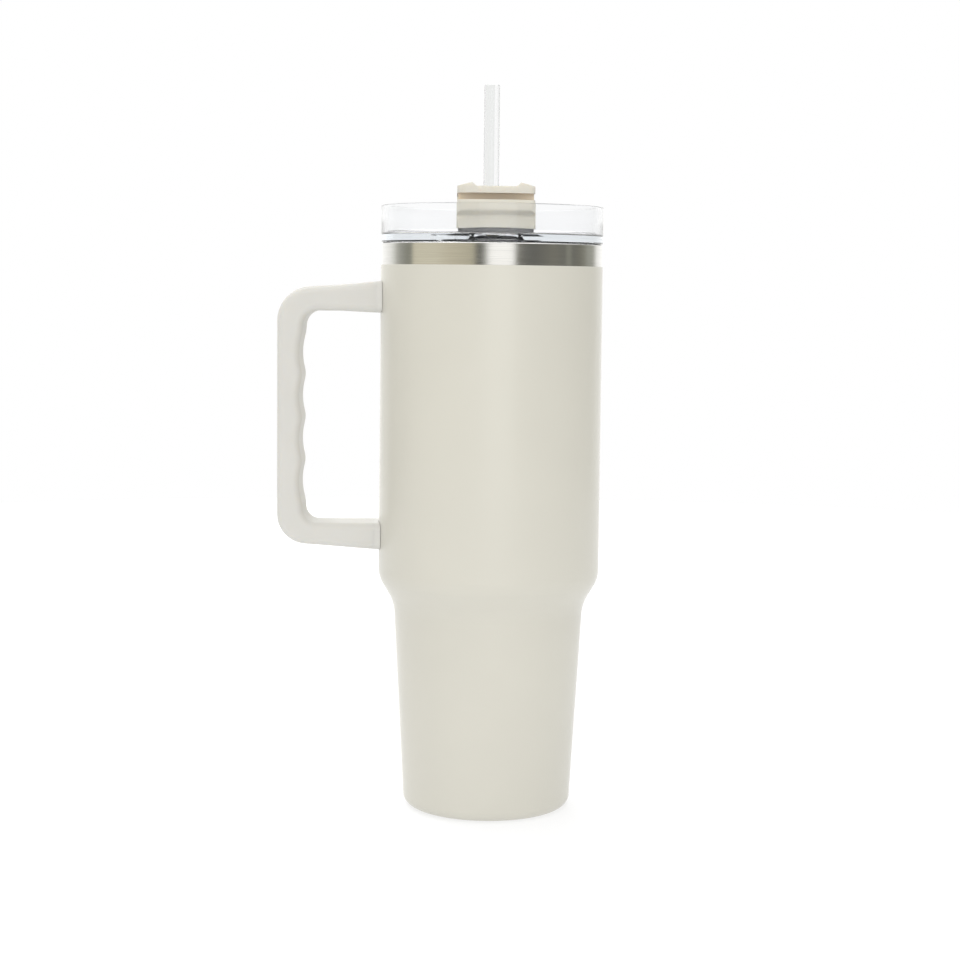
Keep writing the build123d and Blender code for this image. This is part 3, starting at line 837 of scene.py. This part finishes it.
def arc_slot(radius, half_w, start_deg, turn_deg, low_round, high_round):
    """Cutter for a curved slot through the deck: half its section, carried out, round the end and back."""
    low_z, high_z = DECK_Z - DECK_T - 0.02, DECK_Z + 0.02
    inner = radius + half_w
    low_wide, high_wide = inner + low_round + 0.2, inner + high_round + 0.2
    bm = drawn([(radius, low_z - 1), (low_wide, low_z - 1), (low_wide, low_z), (inner, low_z),
                (inner, high_z), (high_wide, high_z), (high_wide, high_z + 1), (radius, high_z + 1)],
               [0, 0, 0, low_round, high_round, 0, 0, 0], closed=False, steps=6)
    start, turn = radians(start_deg), radians(turn_deg)
    bmesh.ops.rotate(bm, cent=(0, 0, 0), matrix=Matrix.Rotation(start, 3, "Z"), verts=bm.verts)
    ends = [(radius * cos(angle), radius * sin(angle), 0) for angle in (start, start + turn)]
    carried = bm.verts[:] + bm.edges[:]
    for centre, angle in (((0, 0, 0), turn), (ends[1], pi), ((0, 0, 0), -turn), (ends[0], pi)):
        carried = bmesh.ops.spin(bm, geom=carried, cent=centre, axis=(0, 0, 1), dvec=(0, 0, 0), angle=angle,
                                 steps=24, use_merge=False, use_duplicate=False)["geom_last"]
    bmesh.ops.remove_doubles(bm, verts=bm.verts, dist=NEAR)
    bmesh.ops.recalc_face_normals(bm, faces=bm.faces)
    return bm


class TUMBLER_OT_lid(bpy.types.Operator):
    """Make the clear lid and its gasket"""

    bl_idname = "tumbler.lid"
    bl_label = "Lid"

    def execute(self, context):
        colours = context.scene.tumbler_colours
        wall_in_r = LID_R - LID_WALL_T
        deck_low_z = DECK_Z - DECK_T
        skirt_in_r = SKIRT_R - SKIRT_T
        groove_r = SKIRT_R - GROOVE_DEPTH
        groove_top_z = GROOVE_LOW_Z + GROOVE_H
        section = [
            ((PIVOT_HOLE_R, DECK_Z), 0.2),
            ((wall_in_r - WALL_SPREAD, DECK_Z), LID_CORNER_ROUND),
            ((wall_in_r, DECK_Z + WALL_SPREAD_H), LID_WALL_BLEND),
            ((wall_in_r, LID_TOP_Z), LID_RIM_ROUND),
            ((LID_R, LID_TOP_Z), LID_RIM_ROUND),
            ((LID_R, FLANGE_LOW_Z), FLANGE_EDGE),
            ((SKIRT_R, FLANGE_LOW_Z), 0.3),
            ((SKIRT_R, groove_top_z), GROOVE_EDGE),
            ((groove_r, groove_top_z), GROOVE_EDGE),
            ((groove_r, GROOVE_LOW_Z), GROOVE_EDGE),
            ((SKIRT_R, GROOVE_LOW_Z), GROOVE_EDGE),
            ((SKIRT_R, SKIRT_LOW_Z), SKIRT_EDGE),
            ((skirt_in_r, SKIRT_LOW_Z), SKIRT_EDGE),
            ((skirt_in_r, deck_low_z), 0.8),
            ((BOSS_R, deck_low_z), 0.3),
            ((BOSS_R, BOSS_LOW_Z), 0.2),
            ((PIVOT_HOLE_R, BOSS_LOW_Z), 0.2),
        ]
        bm = spun(drawn([point for point, _ in section], [radius for _, radius in section], steps=5))
        straw_slot = arc_slot(STRAW_Y, SLOT_R, 90, TRAVEL_DEG, SLOT_EASE, SLOT_EASE)
        mouth = arc_slot(MOUTH_R, MOUTH_HALF_W, MOUTH_START_DEG, MOUTH_TURN_DEG,
                         MOUTH_LOW_ROUND, MOUTH_EASE)
        bm = cut(bm, [straw_slot, mouth])
        clear = clear_finish("clear_plastic", colours.clear, 0.045, 1.49, 0.00001)
        tinted_through(clear, (0.71, 0.76, 0.8), 9.0)
        piece = finished(bm, "clear_lid", "lid", clear, ["lid_body"],
                         turn=LID_TURN, smooth_deg=50)
        even_shading(piece)

        low_z, high_z = level("lid_gasket", 0), level("lid_gasket", 1)
        tip_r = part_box("lid_gasket")[1].x / MM
        core_in_r = SKIRT_R - GROOVE_DEPTH + GASKET_PLAY
        core_out_r = core_in_r + GASKET_CORE_T
        last = GASKET_FINS - 1
        points, rounds = [(core_in_r, high_z), (core_in_r, low_z)], [0.2, 0.2]
        for index in range(GASKET_FINS):
            fin_z = low_z + index * (high_z - low_z - GASKET_FIN_H) / last
            top_z = fin_z + GASKET_FIN_H
            points += [(core_out_r, fin_z)] * (index > 0) + [(tip_r, fin_z), (tip_r, top_z)]
            points += [(core_out_r, top_z)] * (index < last)
            rounds += [GROOVE_EDGE] * (index > 0) + [GASKET_FIN_ROUND] * 2 + [GROOVE_EDGE] * (index < last)
        bm = spun(drawn(points, rounds, steps=4))
        milky = milky_finish("milky_silicone", colours.gasket)
        finished(bm, "lid_seal_ring", "gasket", milky, ["lid_gasket"])
        return {"FINISHED"}


# ======== cover ========

def bar_plan(inset, z):
    """Plan outline of the cover at a height: bowed front end, tapering sides, round rear end."""
    half = BAR_HALF - inset
    rear_half = BAR_REAR_HALF - inset
    front_r = FRONT_ROUND - inset
    front_centre = FRONT_ROUND - BAR_FRONT
    side_y = front_centre - sqrt(front_r ** 2 - half ** 2)
    bm = bmesh.new()
    corners = [(-half, side_y), (half, side_y), (rear_half, BAR_REAR_Y), (-rear_half, BAR_REAR_Y)]
    verts = [bm.verts.new((x, y, z)) for x, y in corners]
    for pair in zip(verts, verts[1:] + verts[:1]):
        bm.edges.new(pair)
    round_corners(bm, verts[:2], [FRONT_CORNER, FRONT_CORNER], 8)
    level_edges = [edge for edge in bm.edges if abs(edge.verts[0].co.y - edge.verts[1].co.y) < 1e-6]
    bmesh.ops.subdivide_edges(bm, edges=level_edges, cuts=39)
    for vert in bm.verts:
        if abs(vert.co.y - BAR_REAR_Y) < 1e-6:
            angle = pi / 2 * vert.co.x / rear_half
            vert.co.x = rear_half * sin(angle)
            vert.co.y = BAR_REAR_Y + rear_half * cos(angle)
        elif vert.co.y < side_y + 2 * FRONT_CORNER:
            vert.co.y += front_centre - sqrt(front_r ** 2 - vert.co.x ** 2) - side_y
    return bm


def slab(inset, low_z, high_z):
    """The cover's plan outline, moved inwards, as a solid between two heights."""
    return raised(bar_plan(inset, low_z), (0, 0, high_z - low_z))


def wedge(points, half_w, along):
    """A side view raised both ways along X or Y; points are (distance, height)."""
    bm = drawn(points)
    bmesh.ops.translate(bm, vec=(0, -half_w, 0), verts=bm.verts)
    bm = raised(bm, (0, 2 * half_w, 0))
    if along == "X":
        bmesh.ops.rotate(bm, cent=(0, 0, 0), matrix=Matrix.Rotation(pi / 2, 3, "Z"), verts=bm.verts)
    return bm


def slot_block(start_y, half_w):
    """A block from a Y to far behind the cover, a little higher and lower than the finger slot."""
    low_z, high_z, far_y = SLOT_LOW_Z - 2, SLOT_LOW_Z + SLOT_H + 2, 2 * BAR_FRONT
    return wedge([(start_y, low_z), (far_y, low_z), (far_y, high_z), (start_y, high_z)], half_w, "X")


class TUMBLER_OT_cover(bpy.types.Operator):
    """Make the turning cover, its silicone pad and the straw's seal"""

    bl_idname = "tumbler.cover"
    bl_label = "Cover"

    def execute(self, context):
        colours = context.scene.tumbler_colours
        edge_round = context.scene.tumbler_sizes.cover_round
        bm = slab(0, BAR_LOW_Z, BAR_TOP_Z + 2)
        bm = cut(bm, self.top_cutters())
        bm = cut(bm, self.slot_cutters())
        hollow = spun(self.hollow_section(), steps=240, centre=(0, FRONT_ROUND - BAR_FRONT))
        bm = cut(bm, [hollow, rod(STRAW_SEAL_R, BAR_LOW_Z - 1, BAR_TOP_Z + 4, (0, STRAW_Y), 72),
                      rod(PIVOT_R, BAR_LOW_Z - 1, BAR_LOW_Z + 8, (0, 0), 48)])
        plastic = moulded_finish("cover_plastic", colours.cover, 0.7, 0.3)
        # Painted shade: the finger slot's band is darkened and warmed, standing in for the shade and warm
        # bounced light inside the slot, on the front half only.
        painted_light_band(plastic, "Z", SLOT_LOW_Z + SLOT_H / 2, SLOT_H / 2, (0.95, 0.87, 0.8), rear_y=-1)
        # Painted shade: the cap, from the slot's top up to the cover's top, is made a little darker and
        # greyer.
        cap_low_z = SLOT_LOW_Z + SLOT_H
        cap_half = (BAR_TOP_Z - cap_low_z) / 2
        painted_light_band(plastic, "Z", cap_low_z + cap_half, cap_half, (0.92, 0.92, 0.93))
        for vert in bm.verts:
            below = (SLOT_LOW_Z - vert.co.z) / (SLOT_LOW_Z - BAR_LOW_Z)
            vert.co.z -= BAR_SAG * max(below, 0) * (vert.co.x / BAR_HALF) ** 2
        bar = finished(bm, "turning_cover", "cover", plastic, ["rotating_cover"],
                       turn=LID_TURN)
        rounded_edges(bar, edge_round)

        bm = slab(PAD_INSET, DECK_Z - PAD_PRESS, BAR_LOW_Z)
        inner_r = STRAW_R + STRAW_PLAY
        bm = cut(bm, [rod(PIVOT_R, DECK_Z - 1, BAR_LOW_Z + 1, (0, 0), 48),
                      rod(inner_r, DECK_Z - 1, BAR_LOW_Z + 1, (0, STRAW_Y), 64)])
        rubber = rubber_finish("grey_silicone", colours.pad)
        pad = finished(bm, "cover_pad", "cover", rubber, ["cover_gasket"], turn=LID_TURN)
        rounded_edges(pad, PAD_EDGE * MM, 2)

        low_z, high_z = level("straw_seal", 0), level("straw_seal", 1)
        seal = drawn([(inner_r, low_z), (STRAW_SEAL_R, low_z), (STRAW_SEAL_R, high_z), (inner_r, high_z)],
                     [0.2, 0.2, 0.5, 0.3], steps=4)
        seal = spun(seal, steps=64, centre=(0, STRAW_Y))
        finished(seal, "straw_grommet", "cover", rubber, ["straw_seal"], turn=LID_TURN)
        return {"FINISHED"}

    def hollow_section(self):
        """Section of what the front face's hollow takes away: an undercut above a leaning lower face."""
        depths = [(-HOLLOW_OUT, HOLLOW_TOP_Z), (HOLLOW_BROW, HOLLOW_BROW_Z), (HOLLOW_DEEP, HOLLOW_DEEP_Z),
                  (HOLLOW_LEAN, HOLLOW_LEAN_Z), (HOLLOW_FOOT, BAR_LOW_Z), (HOLLOW_FOOT, BAR_LOW_Z - 1),
                  (-HOLLOW_OUT, BAR_LOW_Z - 1)]
        points = [(FRONT_ROUND - depth, z) for depth, z in depths]
        return drawn(points, [0] + HOLLOW_ROUNDS + [0, 0, 0], steps=8)

    def top_cutters(self):
        """What is cut off the top: the slope, the outer slopes of the ridges and the valley between them."""
        high = BAR_TOP_Z + 4
        rear_y = BAR_REAR_Y + BAR_REAR_HALF
        points = [(-BAR_FRONT - 2, BAR_FRONT_TOP_Z), (-BAR_FRONT, BAR_FRONT_TOP_Z),
                  (rear_y, BAR_REAR_TOP_Z), (rear_y + 2, BAR_REAR_TOP_Z),
                  (rear_y + 2, high), (-BAR_FRONT - 2, high)]
        return [cut(wedge(points, 2 * BAR_HALF, "X"), self.ridges())]

    def ridges(self):
        """The two ridges, which fade out before the straw."""
        front_y, low_z, high_z = -BAR_FRONT - 1, BAR_LOW_Z - 1, BAR_TOP_Z + 1
        length_view = [(front_y, low_z), (front_y, high_z), (RIDGE_REAR_Y, high_z),
                       (RIDGE_REAR_Y, BAR_FRONT_TOP_Z), (RIDGE_REAR_Y + RIDGE_FADE, low_z)]
        outer_x = BAR_HALF + 1
        outer_z = BAR_FRONT_TOP_Z - RIDGE_H / (BAR_HALF - RIDGE_X)
        end_view = [(VALLEY_HALF, BAR_FRONT_TOP_Z), (RIDGE_X, BAR_TOP_Z), (outer_x, outer_z),
                    (outer_x, BAR_LOW_Z), (VALLEY_HALF, BAR_LOW_Z)]
        made = []
        for side in (-1, 1):
            ridge = wedge([(side * x, z) for x, z in end_view], 2 * BAR_FRONT, "Y")
            fade = wedge(length_view, 2 * BAR_HALF, "X")
            made.append(cut(ridge, [fade], keep=True))
        return made

    def slot_cutters(self):
        """The finger slot: deep across the front end, shallow along the sides."""
        high_z = SLOT_LOW_Z + SLOT_H
        outside = slab(-SLOT_DEPTH, SLOT_LOW_Z, high_z)
        core = slab(SLOT_SIDE, SLOT_LOW_Z - 1, high_z + 1)
        core = cut(core, [slot_block(SLOT_DEPTH - BAR_FRONT, 2 * BAR_HALF)], keep=True)
        return [cut(outside, [core, slot_block(0, 3 * BAR_HALF)])]


# ======== straw ========

class TUMBLER_OT_straw(bpy.types.Operator):
    """Make the clear straw"""

    bl_idname = "tumbler.straw"
    bl_label = "Straw"

    def execute(self, context):
        colours = context.scene.tumbler_colours
        inner_r = STRAW_R - STRAW_WALL
        corners = [(inner_r, STRAW_LOW_Z), (STRAW_R, STRAW_LOW_Z),
                   (STRAW_R, STRAW_TOP_Z), (inner_r, STRAW_TOP_Z)]
        tube = drawn(corners, [STRAW_EDGE] * 4, steps=4)
        tube = spun(tube, steps=96, centre=(0, STRAW_Y))
        clear = clear_finish("straw_plastic", colours.straw, 0.03, 1.4, 0.000001)
        # Painted highlight: a paler band down the straw's wall, standing in for a glint of light.
        painted_light_band(clear, "X", STRAW_HIGHLIGHT_X, STRAW_HIGHLIGHT_HALF, (1.07, 1.065, 1.07))
        finished(tube, "clear_straw", "straw", clear, ["straw"], turn=LID_TURN)
        return {"FINISHED"}


# ======== kept pieces ========

class TUMBLER_OT_hidden_parts(bpy.types.Operator):
    """Give the small pieces that keep their construction shape their own finishes"""

    bl_idname = "tumbler.hidden_parts"
    bl_label = "Brackets, screws, pivot and base parts"

    def execute(self, context):
        colours = context.scene.tumbler_colours
        depth = context.scene.tumbler_sizes.brush_depth
        bracket = coat_finish("bracket_coat", colours.handle)
        screws = plain_steel_finish("screw_steel", colours.screw, 0.32)
        bottom = plain_steel_finish("bottom_steel", colours.steel, 0.35)
        floor_steel = brushed_finish("floor_steel", colours.liner, 0.3, depth)
        pivot = moulded_finish("pivot_plastic", colours.cover, 0.45, 0.4)
        finishes = {
            "handle_bracket_upper": bracket,
            "handle_bracket_lower": bracket,
            "handle_screws": screws,
            "pivot_clip": screws,
            "outer_bottom": bottom,
            "liner_floor": floor_steel,
            "cover_pivot": pivot,
            "vacuum_seal": rubber_finish("seal_bead", colours.sealant, 0.3),
            "getter": plain_steel_finish("getter_metal", colours.getter, 0.7),
        }
        for node, material in finishes.items():
            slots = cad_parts[node].material_slots
            if not slots:
                raise RuntimeError(f"{node} has no material slot")
            for slot in slots:
                slot.material = material
        return {"FINISHED"}


# ======== studio ========

class TUMBLER_OT_stage(bpy.types.Operator):
    """Set up the floor, the lights, the surroundings and the camera"""

    bl_idname = "tumbler.stage"
    bl_label = "Studio"

    def execute(self, context):
        studio = context.scene.tumbler_studio
        self.camera(context, studio)
        self.floor(studio)
        for name, place, size, setting in SOFT_BOXES:
            self.soft_box(name, place, size, getattr(studio, setting))
        self.surroundings(context, studio)
        context.scene.view_settings.view_transform = "Standard"
        return {"FINISHED"}

    def camera(self, context, studio):
        """Camera in front of the cup, on its -Y side."""
        data = bpy.data.cameras.new("camera")
        data.lens = studio.focal
        data.sensor_width = 36.0
        data.shift_x = studio.shift
        data.clip_end = 50
        eye = bpy.data.objects.new("camera", data)
        place = Matrix.Translation((0, -studio.distance, studio.eye_height))
        look = Matrix.Rotation(pi / 2 - studio.pitch, 4, "X") @ Matrix.Rotation(studio.roll, 4, "Z")
        eye.matrix_world = place @ look
        context.scene.collection.objects.link(eye)
        context.scene.camera = eye

    def floor(self, studio):
        """A round pale floor that fades to white towards its edge."""
        bm = bmesh.new()
        bmesh.ops.create_circle(bm, cap_ends=True, segments=96, radius=studio.floor_radius)
        ground = as_object(bm, "studio_floor")
        finish = Finish("floor_paper", (0.3, 0.303, 0.309), 0.9)
        finish.set("Emission Color", (1, 1, 1, 1))
        away = finish.tree.nodes.new("ShaderNodeVectorMath")
        away.operation = "LENGTH"
        finish.tree.links.new(finish.place, away.inputs[0])
        glow = stretched(finish.tree, away.outputs["Value"], FLOOR_PLAIN_SHARE * studio.floor_radius,
                         studio.floor_radius, FLOOR_GLOW, FLOOR_EDGE_GLOW)
        finish.tree.links.new(glow, finish.shader.inputs["Emission Strength"])
        finish.tint(0.004, 3, 2)
        ground.data.materials.append(finish.material)

    def soft_box(self, name, place, size, watts):
        """A square soft box that faces the cup."""
        data = bpy.data.lights.new(name, "AREA")
        data.size = size
        data.energy = watts
        box = bpy.data.objects.new(name, data)
        facing = (Vector(LIGHT_AIM) - Vector(place)).to_track_quat("-Z", "Y")
        box.matrix_world = Matrix.Translation(place) @ facing.to_matrix().to_4x4()
        box.visible_camera = False
        box.visible_glossy = False
        bpy.context.scene.collection.objects.link(box)

    def surroundings(self, context, studio):
        """White surroundings; polished metal also sees the studio's dark and warm screens."""
        world = bpy.data.worlds.new("studio")
        context.scene.world = world
        world.use_nodes = True
        tree = world.node_tree
        tree.nodes.clear()
        path = tree.nodes.new("ShaderNodeLightPath").outputs
        seen = self.backdrop(tree, (1, 1, 1, 1), 1.0)
        lit = self.backdrop(tree, (1, 0.985, 0.955, 1), self.sky_strength(tree, studio))
        screens = self.backdrop(tree, self.screen_colour(tree), SCREEN_LIGHT)
        straight = worked_out(tree, "MAXIMUM", path["Is Camera Ray"], path["Is Transmission Ray"])
        unseen = self.chosen(tree, path["Is Glossy Ray"], lit, screens)
        output = tree.nodes.new("ShaderNodeOutputWorld")
        tree.links.new(self.chosen(tree, straight, unseen, seen), output.inputs["Surface"])

    def backdrop(self, tree, shade, strength):
        """Surroundings of a colour and strength."""
        node = tree.nodes.new("ShaderNodeBackground")
        fed(tree, node.inputs["Color"], shade)
        fed(tree, node.inputs["Strength"], strength)
        return node.outputs[0]

    def chosen(self, tree, switch, off, on):
        """One backdrop or the other, by the kind of ray."""
        node = tree.nodes.new("ShaderNodeMixShader")
        for socket, value in zip(node.inputs, (switch, off, on)):
            tree.links.new(value, socket)
        return node.outputs[0]

    def sky_strength(self, tree, studio):
        """Strength of the sky, a little more from the left than from the right."""
        direction = axes(tree, tree.nodes.new("ShaderNodeTexCoord").outputs["Generated"])
        return worked_out(tree, "MULTIPLY_ADD", direction["X"], -SKY_LEAN * studio.sky, studio.sky)

    def screen_colour(self, tree):
        """Colour of the surroundings by the angle round the cup: dark and warm upright screens."""
        direction = axes(tree, tree.nodes.new("ShaderNodeTexCoord").outputs["Generated"])
        front = worked_out(tree, "MULTIPLY", direction["Y"], -1.0)
        angle = worked_out(tree, "ARCTAN2", direction["X"], front)
        node = tree.nodes.new("ShaderNodeValToRGB")
        tree.links.new(stretched(tree, angle, -pi, pi, 0, 1), node.inputs["Fac"])
        white, pale, soft = (1, 1, 0.98), (0.9, 0.9, 0.885), (0.82, 0.82, 0.8)
        warm, sand, dull = (0.58, 0.55, 0.435), (0.515, 0.48, 0.37), (0.44, 0.415, 0.315)
        mid, light, low = (0.66, 0.67, 0.63), (0.43, 0.43, 0.395), (0.31, 0.315, 0.28)
        grey, dim = (0.23, 0.233, 0.197), (0.175, 0.172, 0.145)
        dark, black = (0.143, 0.143, 0.128), (0.12, 0.12, 0.11)
        # screens by their angle in degrees: negative is to the left of the camera's side
        screens = [(-146, pale), (-132, soft), (-123, mid), (-116, light), (-108, low), (-98, grey),
                   (-92, grey), (-88, warm), (-60, warm), (-44, sand), (-19, dull), (-15, black),
                   (-11.5, black), (-7, low), (-4, soft), (-1, white), (21.5, white), (26, dim),
                   (33, dark), (43, black), (67, dim), (81, dark), (84, grey), (88, grey),
                   (91.5, dark), (104, dim), (112, grey), (118, low), (127, low), (132, light),
                   (140, soft), (152, pale)]
        ramp = node.color_ramp.elements
        while len(ramp) < len(screens):
            ramp.new(0.5)
        for element, (degrees_round, shade) in zip(ramp, screens):
            element.position = (degrees_round + 180) / 360
            element.color = (*shade, 1)
        steep = worked_out(tree, "ABSOLUTE", direction["Z"])
        high = stretched(tree, steep, 0.35, 0.6, 0, 1, smooth=True)
        return mixed(tree, high, node.outputs["Color"], (0.72, 0.72, 0.72, 1))


# ======== add-on ========

class TUMBLER_PT_panel(bpy.types.Panel):
    """Sizes, colours and the pieces to build"""

    bl_idname = "TUMBLER_PT_panel"
    bl_label = "Insulated Tumbler"
    bl_space_type = "VIEW_3D"
    bl_region_type = "UI"
    bl_category = "Tumbler"

    def draw(self, context):
        scene = context.scene
        for group in (scene.tumbler_sizes, scene.tumbler_colours, scene.tumbler_studio):
            box = self.layout.box()
            for key in group.__annotations__:
                box.prop(group, key)
        for operator in BUILD_ORDER:
            self.layout.operator(operator.bl_idname)


SETTINGS = {
    "tumbler_sizes": TumblerSizes,
    "tumbler_colours": TumblerColours,
    "tumbler_studio": TumblerStudio,
}
BUILD_ORDER = (
    TUMBLER_OT_stage,
    TUMBLER_OT_coat,
    TUMBLER_OT_steel_walls,
    TUMBLER_OT_foot_pad,
    TUMBLER_OT_handle,
    TUMBLER_OT_lid,
    TUMBLER_OT_cover,
    TUMBLER_OT_straw,
    TUMBLER_OT_hidden_parts,
)


def register():
    for group in SETTINGS.values():
        bpy.utils.register_class(group)
    for name, group in SETTINGS.items():
        setattr(bpy.types.Scene, name, PointerProperty(type=group))
    for operator in BUILD_ORDER:
        bpy.utils.register_class(operator)
    bpy.utils.register_class(TUMBLER_PT_panel)


def unregister():
    bpy.utils.unregister_class(TUMBLER_PT_panel)
    for operator in reversed(BUILD_ORDER):
        bpy.utils.unregister_class(operator)
    for name, group in SETTINGS.items():
        delattr(bpy.types.Scene, name)
        bpy.utils.unregister_class(group)


def main():
    register()
    bpy.ops.tumbler.stage()
    bpy.ops.tumbler.coat()
    bpy.ops.tumbler.steel_walls()
    bpy.ops.tumbler.foot_pad()
    bpy.ops.tumbler.handle()
    bpy.ops.tumbler.lid()
    bpy.ops.tumbler.cover()
    bpy.ops.tumbler.straw()
    bpy.ops.tumbler.hidden_parts()


if __name__ == "__main__":
    main()
